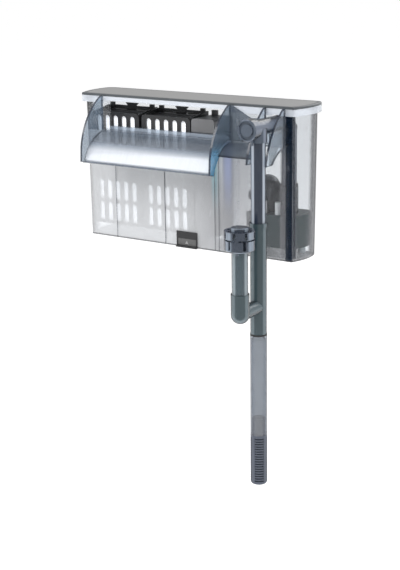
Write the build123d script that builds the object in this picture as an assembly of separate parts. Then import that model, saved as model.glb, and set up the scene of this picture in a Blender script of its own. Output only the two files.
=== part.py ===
from build123d import *
import os
from math import cos, radians, sin, sqrt

# A hang on back aquarium filter, in millimetres.
# X runs along the tank wall, +Y points away from the tank and +Z is up.
# The origin is on the underside of the hook, in the middle of the flat strip
# that lies on the tank rim and halfway along the tub.
# Every part is drawn with y = 0 in the plane of the tub's front wall, and
# moved by RIM_MIDDLE when it is saved.

os.makedirs("parts", exist_ok=True)

# ---------------------------------------------------------------- dimensions
# Tub: the clear tank that hangs outside the aquarium.
TUB_HALF_TOP = 129.5      # half length of the front wall at the rim
TUB_HALF_BASE = 128.2     # half length of the front wall at the floor
TUB_BACK_TOP = 46.5       # y of the back wall at the rim
TUB_BACK_BASE = 45.0      # y of the back wall at the floor
TUB_TOP = 38.0
TUB_BASE = -117.9
WALL = 2.2
FLOOR = 2.6
END_BOW = 6.5             # how far an end wall bows out past its front corner
END_FLARE = 3.0           # how far the back corner lies past the front corner
BACK_CORNER = 8.0         # plan radius of the back corners

# Lid: a clear skirt, a dark frame and a brushed inlay.
LID_HALF = 132.5
LID_FRONT = -4.4
LID_BACK = 50.7
LID_TOP = 40.5
LID_FRAME = 2.5           # thickness of the frame
SKIRT_BASE = 31.0
SKIRT_NOTCH = 33.6        # the skirt is raised to here over the outlet window
SKIRT_WALL = 1.8
INLAY_MARGIN = 3.6
INLAY_DEPTH = 0.9

# Hook and outlet chute.
SHELF = 2.5               # thickness of the shelf and of the chute
CHUTE_RADIUS = 45.5
CHUTE_CENTRE_Y = 3.3
CHUTE_CENTRE_Z = -41.6
LIP_Z = -27.5
SHORT_LIP_Z = -10.5
CHEEK = 2.4
CHEEK_TOP = 38.5
CHEEK_FLAT = 2.5          # width of a cheek's flat top
CHEEK_BACK = -5.0
CHEEK_REACH = -44.0
SPOUT_LEFT = -106.0       # outer face of the left cheek
SPOUT_RIGHT = 60.0        # outer face of the right cheek
GUARD_LEFT = 99.2         # inner start of the tube guard's left cheek
GUARD_RIGHT = 123.6       # outer face of the tube guard's right cheek
GUARD_BASE = -13.8
GUARD_INSET = 3.0         # how far the guard's cheeks stay behind the spout's
GUSSET_TOP = 27.0
WINDOW_LEFT = -98.5
WINDOW_RIGHT = 56.5
SILL_BASE = 0.3           # the wall is cut down to here under the sill cap
SILL_TOP = 5.6
RIM_MIDDLE = 3.8          # from the tub's front wall to the middle of the rim strip

# Intake line: elbow, upper tube, tee, extension and strainer on one axis.
TUBE_X = 112.0
TUBE_Y = -37.7
ELBOW_Z = 23.4
ELBOW_R = 7.8
ELBOW_BORE = 6.0
ELBOW_BEND = 11.0         # radius of the bend in the elbow's centre line
ELBOW_FRONT = -51.0
UPPER_R = 7.4
UPPER_TOP = 16.0
UPPER_BASE = -120.0
TEE_R = 8.5
TEE_BORE = 7.45
TEE_TOP = -70.3
TEE_BASE = -184.9
PORT_Z = -156.7
EXT_R = 8.75
EXT_TOP = -186.9
NECK_TOP = -171.8
EXT_BASE = -294.0
STRAINER_BASE = -349.0
STRAINER_ROWS = 18
STRAINER_PITCH = 2.75
THIN = 1.4                # wall of the clear tubes

# Skimmer: riser, cup and grate in front of the tee.
RISER_Y = -72.7
RISER_R = 8.25
RISER_TOP = -77.0
RISER_BASE = -154.0
SOCKET_TOP = -135.3
SOCKET_R = 9.4
CUP_R = 15.3
CUP_BASE = -91.4
CUP_RIM = -80.3
GRATE_BASE = -78.8
GRATE_RIM = -71.3

# Pump: potted motor block, impeller and its cover.
MOTOR_LEFT = 73.0
MOTOR_TOP = -71.3
MOTOR_BASE = -105.5
MOTOR_GAP = 0.6
PUMP_X = 87.0
LEG_Y = 23.0              # y of the pump axis and of the elbow's inner leg
DOME_R = 13.8
DOME_TOP = -34.5
DOME_SPRING = -50.0
WELL_R = 7.2
WELL_BASE = -98.0
ROTOR_R = 6.6
SHAFT_R = 1.2
LEG_BASE = -56.0
SOCKET_IN_R = 9.6

# Grommet for the mains lead, in the back wall.
GLAND_X = 100.0
GLAND_Z = 12.0
GLAND_R = 4.0

# Cartridges and media box.
CART_FRONT = 4.8
CART_BACK = 41.0
CART_TOP = 20.0
CART_BASE = -104.4
CART_WALL = 1.8
CART_HALF = 31.5
CART_1_X = -94.8
CART_2_X = -28.2
COVER_BASE = 17.2         # underside of the cartridge covers
RAIL_Y = 36.2             # y of the cover's rail, posts and pull tab
SLOT_PITCH = 11.2
SLOT_W = 6.6
MEDIA_X = 18.9
MEDIA_HALF = 14.2

# Leveller at the foot of the front wall.
LEVEL_LEFT = -12.8
LEVEL_RIGHT = 13.5
LEVEL_TOP = -100.6
POCKET_TOP = -106.6
POCKET_DEPTH = 22.0

RUN = 0.08                # radial clearance of a running fit
FIT = 0.03                # radial clearance of a glued or pressed fit


# ------------------------------------------------------------------- helpers
def block(x0, x1, y0, y1, z0, z1):
    """An upright box between two corners."""
    centre = Pos((x0 + x1) / 2, (y0 + y1) / 2, (z0 + z1) / 2)
    return centre * Box(x1 - x0, y1 - y0, z1 - z0)


def post(x, y, z0, z1, radius):
    """A cylinder along Z."""
    return Pos(x, y, (z0 + z1) / 2) * Cylinder(radius, z1 - z0)


def bar_x(y, z, x0, x1, radius):
    """A cylinder along X."""
    return Pos((x0 + x1) / 2, y, z) * Rot(0, 90, 0) * Cylinder(radius, x1 - x0)


def bar_y(x, z, y0, y1, radius):
    """A cylinder along Y."""
    return Pos(x, (y0 + y1) / 2, z) * Rot(90, 0, 0) * Cylinder(radius, y1 - y0)


def sleeve(x, y, z0, z1, radius, bore):
    """A tube along Z."""
    return post(x, y, z0, z1, radius) - post(x, y, z0 - 1, z1 + 1, bore)


def from_side(face, x0, x1):
    """Extrude a profile drawn in (y, z) between two planes across X."""
    return extrude(Plane.YZ.offset(x0) * face, amount=x1 - x0, dir=(1, 0, 0))


def from_front(face, y0, y1):
    """Extrude a profile drawn in (x, z) between two planes across Y."""
    return extrude(Plane.XZ.offset(-y0) * face, amount=y1 - y0, dir=(0, 1, 0))


def bowed_outline(half, front, back, corner):
    """Plan outline with a straight front, bowed ends and round back corners."""
    bow_y = front + 0.55 * (back - front)
    right = ThreePointArc((half, front), (half + END_BOW, bow_y), (half + END_FLARE, back))
    left = ThreePointArc((-half - END_FLARE, back), (-half - END_BOW, bow_y), (-half, front))
    rear = Line((half + END_FLARE, back), (-half - END_FLARE, back))
    ahead = Line((-half, front), (half, front))
    face = make_face([ahead, right, rear, left])
    return fillet(face.vertices().group_by(Axis.Y)[-1], corner)


def tub_form(inset, z0, z1):
    """The tub's tapering form, drawn in by inset, between two heights."""
    faces = []
    for z in (z0, z1):
        t = (z - TUB_BASE) / (TUB_TOP - TUB_BASE)
        half = TUB_HALF_BASE + t * (TUB_HALF_TOP - TUB_HALF_BASE) - inset
        back = TUB_BACK_BASE + t * (TUB_BACK_TOP - TUB_BACK_BASE) - inset
        faces.append(Pos(0, 0, z) * bowed_outline(half, inset, back, BACK_CORNER - inset))
    return loft(faces, ruled=True)


def save(shape, name):
    """Write one sub-part."""
    export_step(Pos(0, RIM_MIDDLE, 0) * shape, f"parts/{name}.step")


# ----------------------------------------------------------------------- tub
def body_shell():
    """The clear tub with its window, baffles, ribs and leveller pocket."""
    outside = tub_form(0, TUB_BASE, TUB_TOP)
    outside = fillet(outside.edges().group_by(Axis.Z)[0], 1.2)
    inside = tub_form(WALL, TUB_BASE + FLOOR, TUB_TOP + 1)
    room = tub_form(WALL - 0.4, TUB_BASE + 0.5, TUB_TOP - 0.5)
    floor_z = TUB_BASE + FLOOR
    back = TUB_BACK_TOP

    fins = block(35.2, 37.0, 0, back, floor_z - 1, 5)
    fins -= block(34, 38, 8, 38, floor_z, floor_z + 14)
    fins += block(40.2, 42.0, 0, back, floor_z - 1, -20)
    fins -= block(34, 38, 0, WALL + 2.3, -1, 6)
    for x in (-92.0, -28.5, 9.0):
        fins += block(x - 0.6, x + 0.6, 1, 4.3, floor_z - 1, -2)
    for x in (CART_1_X, CART_2_X, MEDIA_X):
        for side in (-1, 1):
            fins += block(x + 9 * side - 0.8, x + 9 * side + 0.8, 26, 40, floor_z - 1, CART_BASE)
    pocket = block(LEVEL_LEFT - 0.4, LEVEL_RIGHT + 0.4, 1, POCKET_DEPTH + 2, TUB_BASE + 0.6, POCKET_TOP + 1.6)
    shell = outside - inside + (fins & room) + (pocket & room)

    shell -= block(LEVEL_LEFT + 1.4, LEVEL_RIGHT - 1.4, -1, POCKET_DEPTH, TUB_BASE - 1, POCKET_TOP)
    shell -= block(WINDOW_LEFT, WINDOW_RIGHT, -1, WALL + 1, SILL_BASE, TUB_TOP + 1)
    shell -= bar_y(TUBE_X, ELBOW_Z, -1, WALL + 1, ELBOW_R + 0.7)
    shell -= block(TUBE_X - 8.5, TUBE_X + 8.5, -1, WALL + 1, ELBOW_Z, TUB_TOP + 1)
    shell -= bar_y(GLAND_X, GLAND_Z, 40, 50, GLAND_R)
    return shell


# ---------------------------------------------------------------------- hook
def chute_arc(radius, z_low):
    """Where a circle about the chute's centre crosses z_low, on the tank side."""
    return CHUTE_CENTRE_Y - sqrt(radius**2 - (z_low - CHUTE_CENTRE_Z) ** 2)


def chute_profile(lip):
    """Side profile of the shelf and the curved chute, down to the height lip."""
    inner = CHUTE_RADIUS - SHELF
    top_bend = chute_arc(CHUTE_RADIUS, SHELF)
    under_bend = chute_arc(inner, 0)
    out_lip = chute_arc(CHUTE_RADIUS, lip)
    in_lip = chute_arc(inner, lip)
    half = (SHELF + lip) / 2
    outer_mid = (chute_arc(CHUTE_RADIUS, half), half)
    inner_mid = (chute_arc(inner, lip / 2), lip / 2)
    edges = [
        Line((0, 0), (0, SHELF)),
        Line((0, SHELF), (top_bend, SHELF)),
        ThreePointArc((top_bend, SHELF), outer_mid, (out_lip, lip)),
        Line((out_lip, lip), (in_lip, lip)),
        ThreePointArc((in_lip, lip), inner_mid, (under_bend, 0)),
        Line((under_bend, 0), (0, 0)),
    ]
    return make_face(edges)


def cheek_profile(base, radius, root, inset):
    """Side profile of a cheek: its bowed front edge down to base, and back up to the height root."""
    top_bend = chute_arc(radius, root)
    half = (root + base) / 2
    low = chute_arc(radius, base)
    reach = CHEEK_REACH + inset
    knee = (reach + 1.0, -12.0 + inset)
    front_mid = (reach + 11.0, 14.5)
    top = CHEEK_BACK - CHEEK_FLAT
    edges = [
        Line((CHEEK_BACK, root), (CHEEK_BACK, CHEEK_TOP)),
        Line((CHEEK_BACK, CHEEK_TOP), (top, CHEEK_TOP)),
        ThreePointArc((top, CHEEK_TOP), front_mid, knee),
        Line(knee, (reach, base)),
        Line((reach, base), (low, base)),
        ThreePointArc((low, base), (chute_arc(radius, half), half), (top_bend, root)),
        Line((top_bend, root), (CHEEK_BACK, root)),
    ]
    return make_face(edges)


def spout_hook():
    """Shelf on the tank rim, outlet chute, its cheeks and the tube guard."""
    hook = from_side(chute_profile(LIP_Z), SPOUT_LEFT, SPOUT_RIGHT)
    hook += from_side(chute_profile(SHORT_LIP_Z), SPOUT_RIGHT, GUARD_LEFT + CHEEK)
    hook += bar_x(chute_arc(CHUTE_RADIUS - SHELF / 2, LIP_Z), LIP_Z, SPOUT_LEFT, SPOUT_RIGHT, 1.7)
    hook += block(GUARD_LEFT, GUARD_RIGHT, -7.5, 0, 0, SHELF)
    full = cheek_profile(LIP_Z, CHUTE_RADIUS - 0.5, SHELF, 0)
    short = cheek_profile(GUARD_BASE, CHUTE_RADIUS - SHELF, 0.5, GUARD_INSET)
    hook += from_side(full, SPOUT_LEFT, SPOUT_LEFT + CHEEK)
    hook += from_side(full, SPOUT_RIGHT - CHEEK, SPOUT_RIGHT)
    hook += from_side(short, GUARD_LEFT, GUARD_LEFT + CHEEK)
    hook += from_side(short, GUARD_RIGHT - CHEEK, GUARD_RIGHT)
    gusset = Polygon(
        (SPOUT_RIGHT - 1, 1),
        (SPOUT_RIGHT - 1, CHEEK_TOP),
        (SPOUT_RIGHT + 2, CHEEK_TOP),
        (SPOUT_RIGHT + 24, GUSSET_TOP),
        (GUARD_LEFT + 1, GUSSET_TOP),
        (GUARD_LEFT + 1, 1),
        align=None,
    )
    hook += from_front(gusset, CHEEK_BACK - 2, CHEEK_BACK)
    hook += block(GUARD_LEFT, GUARD_RIGHT, CHEEK_BACK - 2, CHEEK_BACK, 1, 13)
    # The sill cap runs through the window and grips the wall from inside.
    hook += block(WINDOW_LEFT + 0.2, WINDOW_RIGHT - 0.2, -0.5, WALL + 2, SILL_BASE, SILL_TOP)
    hook += block(WINDOW_LEFT + 0.2, WINDOW_RIGHT - 0.2, WALL + 0.4, WALL + 2, -0.5, SHELF)
    return hook


# ----------------------------------------------------------------------- lid
def lid_skirt():
    """Clear skirt that overlaps the tub's rim, notched for the window and the elbow."""
    inner = bowed_outline(LID_HALF - SKIRT_WALL, LID_FRONT + SKIRT_WALL, LID_BACK - SKIRT_WALL, 8.2)
    ring = bowed_outline(LID_HALF, LID_FRONT, LID_BACK, 10) - inner
    skirt = extrude(Pos(0, 0, SKIRT_BASE) * ring, amount=TUB_TOP - SKIRT_BASE)
    skirt -= bar_y(TUBE_X, ELBOW_Z, LID_FRONT - 1, 1, ELBOW_R + 1)
    skirt -= block(SPOUT_LEFT + CHEEK, SPOUT_RIGHT - CHEEK, LID_FRONT - 1, 1, SKIRT_BASE - 1, SKIRT_NOTCH)
    return skirt


def lid_frame():
    """Dark frame that closes the skirt, recessed for the inlay."""
    plate = extrude(Pos(0, 0, TUB_TOP) * bowed_outline(LID_HALF, LID_FRONT, LID_BACK, 10), amount=LID_FRAME)
    plate = chamfer(plate.edges().group_by(Axis.Z)[-1], 0.5)
    return plate - inlay_form(INLAY_MARGIN)


def inlay_form(margin):
    """The inlay's plate, drawn in by margin from the lid's outline."""
    outline = bowed_outline(LID_HALF - margin, LID_FRONT + margin, LID_BACK - margin, 10 - margin)
    return extrude(Pos(0, 0, LID_TOP - INLAY_DEPTH) * outline, amount=INLAY_DEPTH)


def lid_inlay():
    """Brushed plate set flush into the frame."""
    return inlay_form(INLAY_MARGIN + 0.3)


# ---------------------------------------------------------------- cartridges
def slot_cutter(x, z0, z1):
    """An upright round-ended slot, cut right through front and back walls."""
    cut = block(x - SLOT_W / 2, x + SLOT_W / 2, 0, 50, z0 + SLOT_W / 2, z1 - SLOT_W / 2)
    cut += bar_y(x, z0 + SLOT_W / 2, 0, 50, SLOT_W / 2)
    cut += bar_y(x, z1 - SLOT_W / 2, 0, 50, SLOT_W / 2)
    return cut


def cartridge_basket(cx):
    """Slotted black basket, open at the top."""
    left = cx - CART_HALF
    right = cx + CART_HALF
    basket = block(left, right, CART_FRONT, CART_BACK, CART_BASE, CART_TOP)
    basket = fillet(basket.edges().filter_by(Axis.Y).group_by(Axis.Z)[-1], 4.5)
    # The side walls rise towards the back, where the posts of the cover stand.
    peak = Polygon(
        (CART_FRONT + 1, 10),
        (CART_FRONT + 1, CART_TOP - 1),
        (RAIL_Y - 3, CART_TOP + 3.5),
        (CART_BACK - 1, CART_TOP + 3.5),
        (CART_BACK - 1, 10),
        align=None,
    )
    for x in (left, right - CART_WALL):
        basket += from_side(peak, x, x + CART_WALL)
    basket -= block(
        left + CART_WALL,
        right - CART_WALL,
        CART_FRONT + CART_WALL,
        CART_BACK - CART_WALL,
        CART_BASE + CART_WALL,
        CART_TOP + 9,
    )
    for column in range(-2, 3):
        x = cx + column * SLOT_PITCH
        basket -= slot_cutter(x, -14, 16.5)
        basket -= slot_cutter(x, -76.9, -55.3)
        basket -= slot_cutter(x, -102.0, -80.2)
        basket -= block(x - 2, x + 2, 12, 34, CART_BASE - 1, CART_BASE + CART_WALL + 1)
    return basket


def cartridge_cover(cx):
    """Cover with two end posts, a rail between them and the bow-tie pull tab."""
    left = cx - CART_HALF + CART_WALL + 0.3
    right = cx + CART_HALF - CART_WALL - 0.3
    front = CART_FRONT + CART_WALL + 0.3
    back = CART_BACK - CART_WALL - 0.3
    cover = block(left, right, front, back, COVER_BASE, COVER_BASE + 2)
    cover -= block(left + 3, right - 3, front + 3, front + 13, COVER_BASE - 1, COVER_BASE + 3)
    cover -= block(left + 3, right - 3, front + 16, RAIL_Y - 4, COVER_BASE - 1, COVER_BASE + 3)
    for x in (left, right - 5):
        cover += block(x, x + 5, RAIL_Y - 1.6, RAIL_Y + 1.6, COVER_BASE + 1, 26.4)
    cover += block(left, right, RAIL_Y - 1.2, RAIL_Y + 1.2, 20.8, 23.6)
    tab = Polygon(
        (cx - 8.4, COVER_BASE + 1),
        (cx - 3.4, 21.9),
        (cx - 8.4, 26.7),
        (cx + 8.4, 26.7),
        (cx + 3.4, 21.9),
        (cx + 8.4, COVER_BASE + 1),
        align=None,
    )
    return cover + from_front(tab, RAIL_Y - 1.3, RAIL_Y + 1.3)


def cartridge_floss(cx):
    """White floss envelope that stands in the basket around the carbon."""
    pad = block(cx - 29.2, cx + 29.2, CART_FRONT + 2.2, CART_BACK - 2.2, CART_BASE + 2.2, COVER_BASE - 0.3)
    return pad - block(cx - 24.3, cx + 24.3, 13.7, 32.1, -94, COVER_BASE)


def cartridge_carbon(cx):
    """Carbon block held in the floss."""
    pack = block(cx - 24, cx + 24, 14, 31.8, -93.7, 8)
    return fillet(pack.edges().filter_by(Axis.Z), 3)


def media_box():
    """Plain box beside the baffle."""
    left = MEDIA_X - MEDIA_HALF
    right = MEDIA_X + MEDIA_HALF
    box = block(left, right, CART_FRONT, CART_BACK, CART_BASE, 5)
    box = box - block(left + 1.6, right - 1.6, CART_FRONT + 1.6, CART_BACK - 1.6, CART_BASE + 1.6, 6)
    for x in (MEDIA_X - 7, MEDIA_X, MEDIA_X + 7):
        box -= block(x - 1.5, x + 1.5, 10, 36, CART_BASE - 1, CART_BASE + 2)
    return box


def media_cover():
    """Cap of the media box, with a finger post."""
    left = MEDIA_X - MEDIA_HALF
    right = MEDIA_X + MEDIA_HALF
    cap = block(left, right, CART_FRONT, CART_BACK, 6, CART_TOP)
    cap = fillet(cap.edges().filter_by(Axis.Y).group_by(Axis.Z)[-1], 3)
    cap -= block(left + 1.6, right - 1.6, CART_FRONT + 1.6, CART_BACK - 1.6, 4, CART_TOP - 1.8)
    lip = block(left + 1.8, right - 1.8, CART_FRONT + 1.8, CART_BACK - 1.8, 2, 7)
    lip -= block(left + 3.2, right - 3.2, CART_FRONT + 3.2, CART_BACK - 3.2, 1, 8)
    lip += block(left + 1.5, right - 1.5, CART_FRONT + 1.5, CART_BACK - 1.5, 6, 7)
    lip -= block(left + 3.2, right - 3.2, CART_FRONT + 3.2, CART_BACK - 3.2, 1, 8)
    return cap + lip + block(MEDIA_X - 8.5, MEDIA_X - 1.5, RAIL_Y - 1.3, RAIL_Y + 1.3, CART_TOP - 0.5, CART_TOP + 5.5)


def media_rings():
    """Ceramic rings stacked in the media box."""
    solids = []
    for level in range(9):
        z = CART_BASE + 2.4 + level * 10.6
        for x in (MEDIA_X - 6.2, MEDIA_X + 6.2):
            for y in (13.2, 23.6):
                solids.append(sleeve(x, y, z, z + 10, 4.6, 2.0))
            solids.append(sleeve(x, 34.0, z, z + 10, 4.6, 2.0))
    return Compound(solids)


# ---------------------------------------------------------------------- pump
def stator_core():
    """Laminated U core whose legs lie on both sides of the rotor well."""
    core = block(78, 119, 7.5, 12.5, -90, -78) + block(78, 119, 33.5, 38.5, -90, -78)
    return core + block(110, 119, 12, 34, -90, -78)


def stator_coil():
    """Copper coil wound round the core's yoke."""
    coil = block(105, 124, 13.5, 32.5, -94, -74)
    coil = fillet(coil.edges().filter_by(Axis.Y), 3)
    return coil - block(109.9, 119.1, 10, 36, -90.1, -77.9)


def motor_housing():
    """Potted motor block that fills the tub's end, with the rotor well."""
    form = tub_form(WALL + MOTOR_GAP, MOTOR_BASE, MOTOR_TOP)
    form &= block(MOTOR_LEFT, 145, 0, 60, MOTOR_BASE, MOTOR_TOP)
    form -= post(PUMP_X, LEG_Y, WELL_BASE, MOTOR_TOP + 1, WELL_R)
    form -= block(77.9, 119.1, 7.4, 12.6, -90.1, -77.9)
    form -= block(77.9, 119.1, 33.4, 38.6, -90.1, -77.9)
    form -= block(109.8, 119.2, 12, 34, -90.1, -77.9)
    form -= block(104.9, 124.1, 13.4, 32.6, -94.1, -73.9)
    # Sockets for the two white posts.
    for x in (92.0, 108.0):
        form -= post(x, 7.0, MOTOR_TOP - 4, MOTOR_TOP + 1, 1.5)
    return form


def motor_feet():
    """Four soft feet under the motor block."""
    places = [(80, 9), (120, 9), (80, 36), (120, 36)]
    return Compound([post(x, y, TUB_BASE + FLOOR, MOTOR_BASE, 4) for x, y in places])


def rotor_shaft():
    """Ceramic shaft that stands in the well."""
    return post(PUMP_X, LEG_Y, -96.5, -44.0, SHAFT_R)


def shaft_bushes():
    """Rubber bush at each end of the shaft."""
    low = sleeve(PUMP_X, LEG_Y, WELL_BASE, -95, 4, SHAFT_R + FIT)
    low += post(PUMP_X, LEG_Y, WELL_BASE, -96.5, 2)
    high = sleeve(PUMP_X, LEG_Y, -46.5, -42.5, 2.6, SHAFT_R + FIT)
    high += post(PUMP_X, LEG_Y, -44.0, -42.5, 2)
    return Compound([low, high])


def rotor_magnet():
    """Ring magnet on the impeller's stem."""
    return sleeve(PUMP_X, LEG_Y, -93, -73, ROTOR_R, 2.6)


def impeller():
    """Impeller with six straight blades and the stem inside the magnet."""
    wheel = post(PUMP_X, LEG_Y, -94, -52.5, 2.6 - FIT)
    wheel += post(PUMP_X, LEG_Y, -73, -62.5, ROTOR_R)
    for n in range(6):
        blade = Pos(PUMP_X, LEG_Y, -57.6) * Rot(0, 0, 60 * n) * Pos(5.9, 0, 0) * Box(8, 1.3, 10)
        wheel += blade
    return wheel - post(PUMP_X, LEG_Y, -95, -50, SHAFT_R + RUN)


def dome_profile(radius, top):
    """Half section of the dome: a straight skirt and an elliptical crown."""
    crown = top - DOME_SPRING
    mid = (radius * cos(radians(45)), DOME_SPRING + crown * sin(radians(45)))
    quarter = Spline(
        [(radius, DOME_SPRING), mid, (0, top)],
        tangents=[(0, 1), (-1, 0)],
    )
    return make_face([
        Line((0, MOTOR_TOP), (radius, MOTOR_TOP)),
        Line((radius, MOTOR_TOP), (radius, DOME_SPRING)),
        quarter,
        Line((0, top), (0, MOTOR_TOP)),
    ])


def dome(radius, top):
    """Solid dome over the impeller."""
    half = Plane.XZ * dome_profile(radius, top)
    return Pos(PUMP_X, LEG_Y, 0) * revolve(half, Axis.Z)


def impeller_cover():
    """Dark dome with its inlet socket, duct and outlet."""
    cover = dome(DOME_R, DOME_TOP)
    cover += block(PUMP_X, TUBE_X, LEG_Y - 6.5, LEG_Y + 6.5, MOTOR_TOP, -51)
    cover += post(TUBE_X, LEG_Y, MOTOR_TOP, -44, SOCKET_IN_R)
    cover += bar_x(LEG_Y, -57.5, 66, PUMP_X, 5.2)
    cover -= dome(DOME_R - 1.8, DOME_TOP - 1.8) - block(60, 110, 0, 60, DOME_TOP - 8, DOME_TOP)
    cover -= block(PUMP_X, TUBE_X, LEG_Y - 5, LEG_Y + 5, MOTOR_TOP + 2, -52.6)
    cover -= post(TUBE_X, LEG_Y, MOTOR_TOP + 2, -40, 6)
    cover -= post(TUBE_X, LEG_Y, LEG_BASE, -40, ELBOW_R + RUN)
    cover -= bar_x(LEG_Y, -57.5, 60, PUMP_X, 3.8)
    cover -= post(PUMP_X, LEG_Y, -60, -42.5, 2.6 + FIT)
    return cover


def cover_seal():
    """O-ring between the dome and the motor block, in a groove of the cover."""
    return Pos(PUMP_X, LEG_Y, MOTOR_TOP + 1.2) * Torus(12.0 - 1.3, 1.2)


def cover_posts():
    """Two white posts beside the dome."""
    solids = []
    for x in (92.0, 108.0):
        peg = post(x, 7.0, MOTOR_TOP, -58.8, 2.9) + post(x, 7.0, MOTOR_TOP - 4, MOTOR_TOP + 1, 1.5 - FIT)
        solids.append(peg)
    return Compound(solids)


def flow_guide():
    """Stepped plate that steers the return water over the pump."""
    points = [
        (2.5, 22.0),
        (40.5, 22.0),
        (40.5, 4.8),
        (30.7, 3.0),
        (18.6, -5.2),
        (8.9, -17.3),
        (6.5, -21.5),
        (2.5, -21.5),
    ]
    return from_side(Polygon(*points, align=None), 100.0, 101.8)


def cable_gland():
    """Rubber grommet in the back wall, where the mains lead leaves."""
    gland = bar_y(GLAND_X, GLAND_Z, 41.2, 49.4, GLAND_R - FIT)
    gland += bar_y(GLAND_X, GLAND_Z, 47.2, 49.4, 6.4) + bar_y(GLAND_X, GLAND_Z, 41.2, 43.2, 5.6)
    return gland - bar_y(GLAND_X, GLAND_Z, 40, 51, 2.4)


# --------------------------------------------------------------- intake line
def intake_elbow():
    """U shaped elbow: over the rim and down to the pump."""
    elbow = elbow_pipe(ELBOW_R, ELBOW_FRONT, LEG_BASE)
    elbow += post(TUBE_X, TUBE_Y, 9.5, ELBOW_Z, UPPER_R + 1.5)
    elbow -= elbow_pipe(ELBOW_BORE, ELBOW_FRONT - 1, LEG_BASE - 1)
    elbow -= post(TUBE_X, TUBE_Y, 0, ELBOW_Z, ELBOW_BORE - 0.2)
    elbow -= post(TUBE_X, TUBE_Y, 0, UPPER_TOP, UPPER_R + FIT)
    return elbow


def elbow_pipe(radius, front, base):
    """Solid rod along the elbow's centre line: back from front, round the bend and down to base."""
    level = Line((TUBE_X, front, ELBOW_Z), (TUBE_X, LEG_Y - ELBOW_BEND, ELBOW_Z))
    bend_mid = ELBOW_BEND * cos(radians(45))
    bend = ThreePointArc(
        (TUBE_X, LEG_Y - ELBOW_BEND, ELBOW_Z),
        (TUBE_X, LEG_Y - ELBOW_BEND + bend_mid, ELBOW_Z - ELBOW_BEND + bend_mid),
        (TUBE_X, LEG_Y, ELBOW_Z - ELBOW_BEND),
    )
    drop = Line((TUBE_X, LEG_Y, ELBOW_Z - ELBOW_BEND), (TUBE_X, LEG_Y, base))
    start = Plane(origin=(TUBE_X, front, ELBOW_Z), z_dir=(0, 1, 0))
    return sweep(start * Circle(radius), path=Wire([level, bend, drop]))


def elbow_collar():
    """Bayonet collar round the elbow's front end, with its stop peg."""
    collar = bar_y(TUBE_X, ELBOW_Z, -50.6, -47.0, 10.0)
    collar += post(TUBE_X, -48.8, 7.5, 14.5, 1.2)
    return collar - bar_y(TUBE_X, ELBOW_Z, -55, -40, ELBOW_R + FIT)


def elbow_seal():
    """Rubber ring where the elbow's leg meets the pump cover."""
    return sleeve(TUBE_X, LEG_Y, -43.9, -41.5, 9.2, ELBOW_R + FIT)


def flow_knob():
    """Round knob with a dished face and an inner disc."""
    knob = bar_y(TUBE_X, ELBOW_Z, -59.5, -51.4, 10.8)
    knob = chamfer(knob.edges().group_by(Axis.Y)[0], 0.8)
    knob -= bar_y(TUBE_X, ELBOW_Z, -60, -57.5, 8.9)
    knob += bar_y(TUBE_X, ELBOW_Z, -58.8, -57, 6.2)
    knob += bar_y(TUBE_X, ELBOW_Z, -52, -46, 3)
    return knob


def flow_plug():
    """Quarter-cut valve plug on the knob's stem."""
    plug = bar_y(TUBE_X, ELBOW_Z, -50.5, -32, ELBOW_BORE - RUN)
    plug -= bar_y(TUBE_X, ELBOW_Z, -45.9, -30, 4.4)
    plug -= bar_y(TUBE_X, ELBOW_Z, -51, -45, 3 + FIT)
    return plug - block(TUBE_X - 10, TUBE_X + 10, -44, -20, ELBOW_Z - 10, ELBOW_Z - 1)


def upper_tube():
    """Dark tube that hangs from the elbow."""
    return sleeve(TUBE_X, TUBE_Y, UPPER_BASE, UPPER_TOP, UPPER_R, UPPER_R - THIN)


def intake_tee():
    """Tee with its side port and the socket under the skimmer riser."""
    tee = post(TUBE_X, TUBE_Y, TEE_BASE, TEE_TOP, TEE_R)
    tee += post(TUBE_X, TUBE_Y, TEE_TOP - 4.5, TEE_TOP, TEE_R + 0.8)
    tee += bar_y(TUBE_X, PORT_Z, RISER_Y, TUBE_Y, 7.4)
    tee += post(TUBE_X, RISER_Y, PORT_Z, SOCKET_TOP, SOCKET_R)
    tee += Pos(TUBE_X, RISER_Y, PORT_Z) * Sphere(SOCKET_R)
    tee -= post(TUBE_X, TUBE_Y, TEE_BASE - 1, TEE_TOP + 1, TEE_BORE + FIT)
    tee -= bar_y(TUBE_X, PORT_Z, RISER_Y, TUBE_Y, 5.6)
    tee -= post(TUBE_X, RISER_Y, PORT_Z, SOCKET_TOP, 6.6)
    tee -= Pos(TUBE_X, RISER_Y, PORT_Z) * Sphere(6.6)
    return tee - post(TUBE_X, RISER_Y, RISER_BASE - 0.4, SOCKET_TOP + 1, RISER_R + RUN)


def coupling_ring():
    """Dark ring on the extension's neck, under the tee."""
    return sleeve(TUBE_X, TUBE_Y, EXT_TOP, TEE_BASE - 0.4, EXT_R, UPPER_R + FIT)


def extension_tube():
    """Pale tube with a neck that slides in the tee."""
    tube = sleeve(TUBE_X, TUBE_Y, EXT_BASE, EXT_TOP, EXT_R, EXT_R - THIN)
    tube += sleeve(TUBE_X, TUBE_Y, EXT_TOP - 4, NECK_TOP, UPPER_R, UPPER_R - THIN)
    tube += sleeve(TUBE_X, TUBE_Y, EXT_TOP - 4, EXT_TOP, EXT_R - 0.5, UPPER_R - 0.5)
    return tube


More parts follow.
